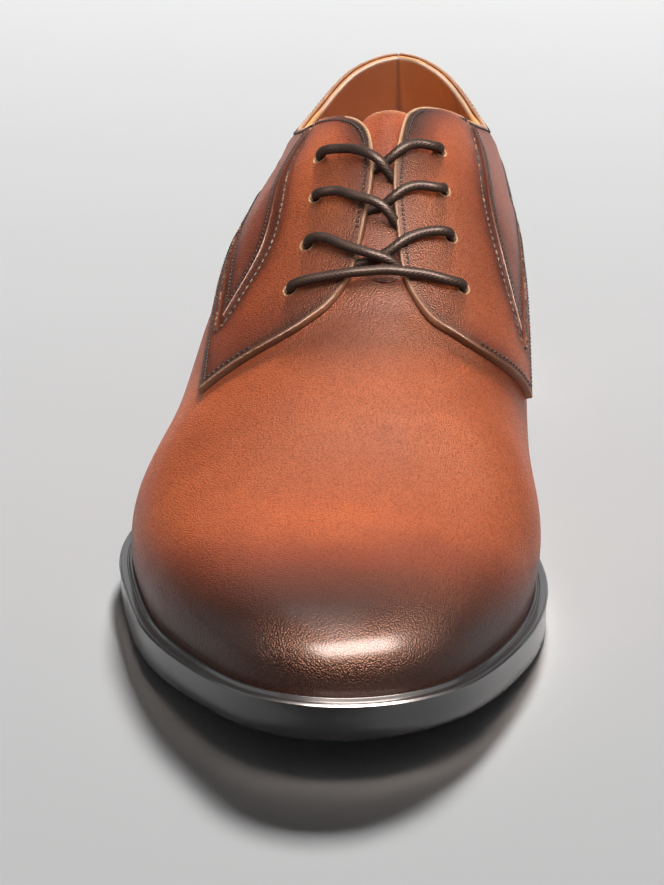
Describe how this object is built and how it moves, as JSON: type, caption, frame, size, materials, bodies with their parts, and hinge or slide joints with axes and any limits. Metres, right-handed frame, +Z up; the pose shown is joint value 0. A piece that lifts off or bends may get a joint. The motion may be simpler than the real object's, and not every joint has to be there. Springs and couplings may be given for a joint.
{
  "type": "plain-toe oxford",
  "caption": "Lace-up leather dress shoe for the right foot: plain burnished toe, open lace facings laid over the vamp, low heel and a rubber sole with toe spring.",
  "frame": {"origin": "on the floor, under the middle of the heel's tread, 34 mm in front of the back of the last", "axes": "+Z up, the toe towards -Y and the heel's back towards +Y, the medial (big-toe) side towards +X"},
  "size_m": [0.1102, 0.3015, 0.1032],
  "materials": {
    "cognac_leather": "polished, burnished dark at the toe and seams",
    "tan_lining": "matte lining leather",
    "black_rubber": "satin",
    "black_heel": "satin",
    "waxed_lace": "waxed braid"
  },
  "bodies": {
    "root": {"upper": "cognac_leather", "quarter_lateral": "cognac_leather", "quarter_medial": "cognac_leather", "tongue": "cognac_leather", "insole": "tan_lining", "welt": "black_rubber", "outsole": "black_rubber", "heel": "black_heel", "top_piece": "black_rubber", "lace_bar": "waxed_lace", "lace_cross_1": "waxed_lace", "lace_cross_2": "waxed_lace", "lace_cross_3": "waxed_lace"}
  },
  "joints": []
}
